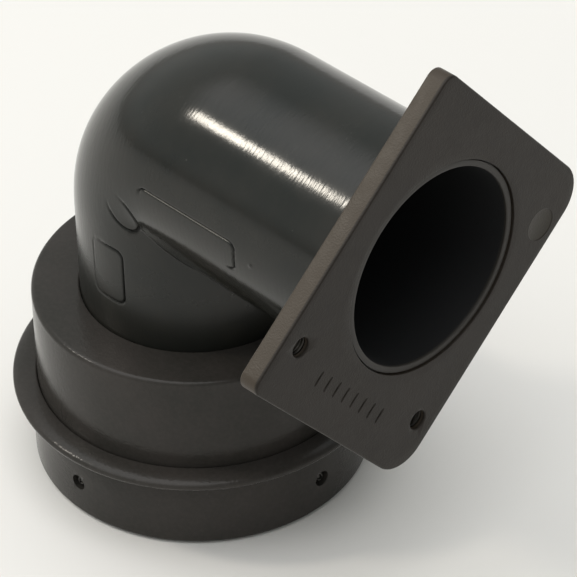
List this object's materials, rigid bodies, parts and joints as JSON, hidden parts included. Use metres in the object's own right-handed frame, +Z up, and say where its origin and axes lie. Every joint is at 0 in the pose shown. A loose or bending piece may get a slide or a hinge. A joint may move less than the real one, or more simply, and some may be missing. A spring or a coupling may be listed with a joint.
{
  "type": "flanged duct elbow",
  "caption": "Right-angle duct elbow: a bent black tube from a rectangular mounting plate to a stepped round spigot base.",
  "frame": {"origin": "centre of the outer box's base, on the surface that the spigot ring stands on", "axes": "+X out of the mounting plate, along the horizontal tube; +Z up, along the leg"},
  "size_m": [0.1234, 0.102, 0.1435],
  "materials": {
    "tube_plastic": "semi-gloss black moulding",
    "plate_plastic": "matt charcoal, finely grained",
    "base_plastic": "satin charcoal",
    "seal_rubber": "matt black rubber",
    "screw_steel": "blackened steel",
    "sleeve_steel": "bright plated steel"
  },
  "bodies": {
    "root": {"elbow_shell": "tube_plastic", "flange_plate": "plate_plastic", "flange_sleeve_1": "sleeve_steel", "flange_sleeve_2": "sleeve_steel", "reducing_cup": "base_plastic", "neck_seal": "seal_rubber", "rim_collar": "base_plastic", "spigot_ring": "base_plastic", "lip_seal": "seal_rubber", "spigot_screw_1": "screw_steel", "spigot_screw_2": "screw_steel", "spigot_screw_3": "screw_steel", "spigot_screw_4": "screw_steel"}
  },
  "joints": []
}
